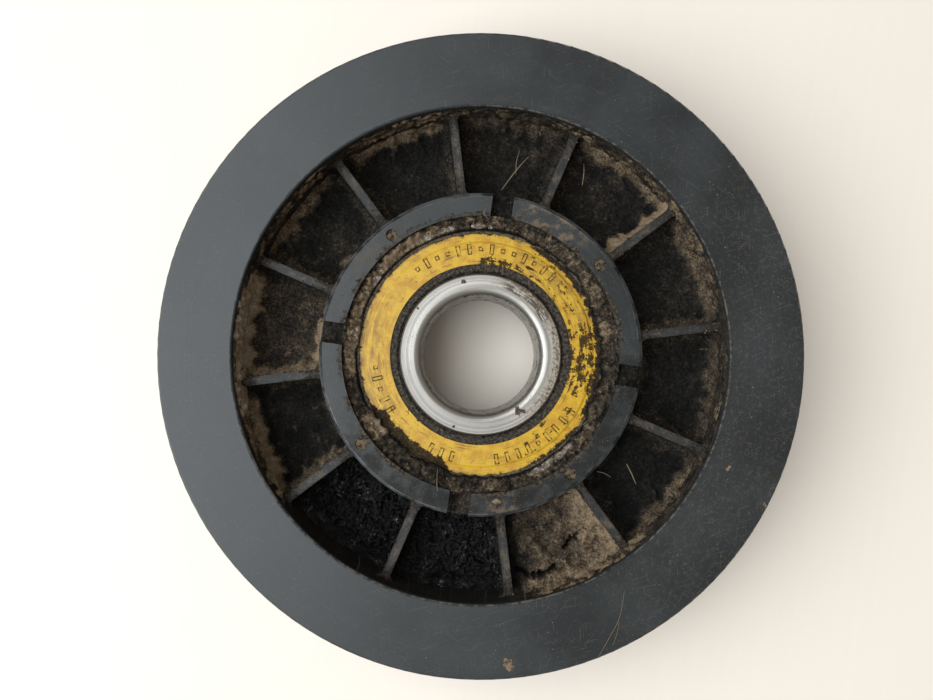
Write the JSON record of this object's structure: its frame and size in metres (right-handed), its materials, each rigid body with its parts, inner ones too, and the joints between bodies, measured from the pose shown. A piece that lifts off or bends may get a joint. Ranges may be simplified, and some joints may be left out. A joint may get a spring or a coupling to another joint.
{
  "type": "belt tensioner idler",
  "caption": "Flanged flat idler wheel for a drive belt: ribbed moulded plastic on a sealed deep-groove ball bearing with a plain bore.",
  "frame": {"origin": "centre of the bearing's bore, at the middle of its width", "axes": "+Z along the bore, out of the wheel's ejector-marked front; X and Y through the notches of the hub lip"},
  "size_m": [0.0888, 0.0888, 0.019],
  "materials": {
    "moulded_nylon": "satin, scuffed",
    "ring_steel": "ground, lightly stained",
    "ball_steel": "polished",
    "cage_steel": "pressed, oiled",
    "seal_rubber": "matte",
    "shroud_paint": "worn yellow paint",
    "caked_dirt": "dry, caked",
    "dry_straw": "dry, fibrous"
  },
  "bodies": {
    "inner_ring": {"bearing_inner_ring": "ring_steel"},
    "pulley": {"pulley_body": "moulded_nylon", "bearing_outer_ring": "ring_steel", "front_seal_shroud": "shroud_paint", "front_seal_rubber": "seal_rubber", "back_seal_shroud": "shroud_paint", "back_seal_rubber": "seal_rubber"},
    "cage": {"cage_front_half": "cage_steel", "cage_back_half": "cage_steel", "cage_rivets": "cage_steel"},
    "ball_1": {"ball_1": "ball_steel"},
    "ball_2": {"ball_2": "ball_steel"},
    "ball_3": {"ball_3": "ball_steel"},
    "ball_4": {"ball_4": "ball_steel"},
    "ball_5": {"ball_5": "ball_steel"},
    "ball_6": {"ball_6": "ball_steel"},
    "ball_7": {"ball_7": "ball_steel"},
    "ball_8": {"ball_8": "ball_steel"}
  },
  "joints": [
    {"name": "pulley_spin", "type": "hinge", "parent": "inner_ring", "child": "pulley", "pos_m": [0, 0, 0], "axis": [0, 0, 1], "continuous": true},
    {"name": "cage_orbit", "type": "hinge", "parent": "inner_ring", "child": "cage", "pos_m": [0, 0, 0], "axis": [0, 0, 1], "continuous": true},
    {"name": "ball_1_spin", "type": "hinge", "parent": "cage", "child": "ball_1", "pos_m": [0.01425, 0, 0], "axis": [0, 0, 1], "continuous": true},
    {"name": "ball_2_spin", "type": "hinge", "parent": "cage", "child": "ball_2", "pos_m": [0.01008, 0.01008, 0], "axis": [0, 0, 1], "continuous": true},
    {"name": "ball_3_spin", "type": "hinge", "parent": "cage", "child": "ball_3", "pos_m": [0, 0.01425, 0], "axis": [0, 0, 1], "continuous": true},
    {"name": "ball_4_spin", "type": "hinge", "parent": "cage", "child": "ball_4", "pos_m": [-0.01008, 0.01008, 0], "axis": [0, 0, 1], "continuous": true},
    {"name": "ball_5_spin", "type": "hinge", "parent": "cage", "child": "ball_5", "pos_m": [-0.01425, 0, 0], "axis": [0, 0, 1], "continuous": true},
    {"name": "ball_6_spin", "type": "hinge", "parent": "cage", "child": "ball_6", "pos_m": [-0.01008, -0.01008, 0], "axis": [0, 0, 1], "continuous": true},
    {"name": "ball_7_spin", "type": "hinge", "parent": "cage", "child": "ball_7", "pos_m": [0, -0.01425, 0], "axis": [0, 0, 1], "continuous": true},
    {"name": "ball_8_spin", "type": "hinge", "parent": "cage", "child": "ball_8", "pos_m": [0.01008, -0.01008, 0], "axis": [0, 0, 1], "continuous": true}
  ],
  "couplings": [
    {"joint": "cage_orbit", "follows": "pulley_spin", "ratio": 0.61835},
    {"joint": "ball_1_spin", "follows": "pulley_spin", "ratio": 1.994},
    {"joint": "ball_2_spin", "follows": "pulley_spin", "ratio": 1.994},
    {"joint": "ball_3_spin", "follows": "pulley_spin", "ratio": 1.994},
    {"joint": "ball_4_spin", "follows": "pulley_spin", "ratio": 1.994},
    {"joint": "ball_5_spin", "follows": "pulley_spin", "ratio": 1.994},
    {"joint": "ball_6_spin", "follows": "pulley_spin", "ratio": 1.994},
    {"joint": "ball_7_spin", "follows": "pulley_spin", "ratio": 1.994},
    {"joint": "ball_8_spin", "follows": "pulley_spin", "ratio": 1.994}
  ]
}
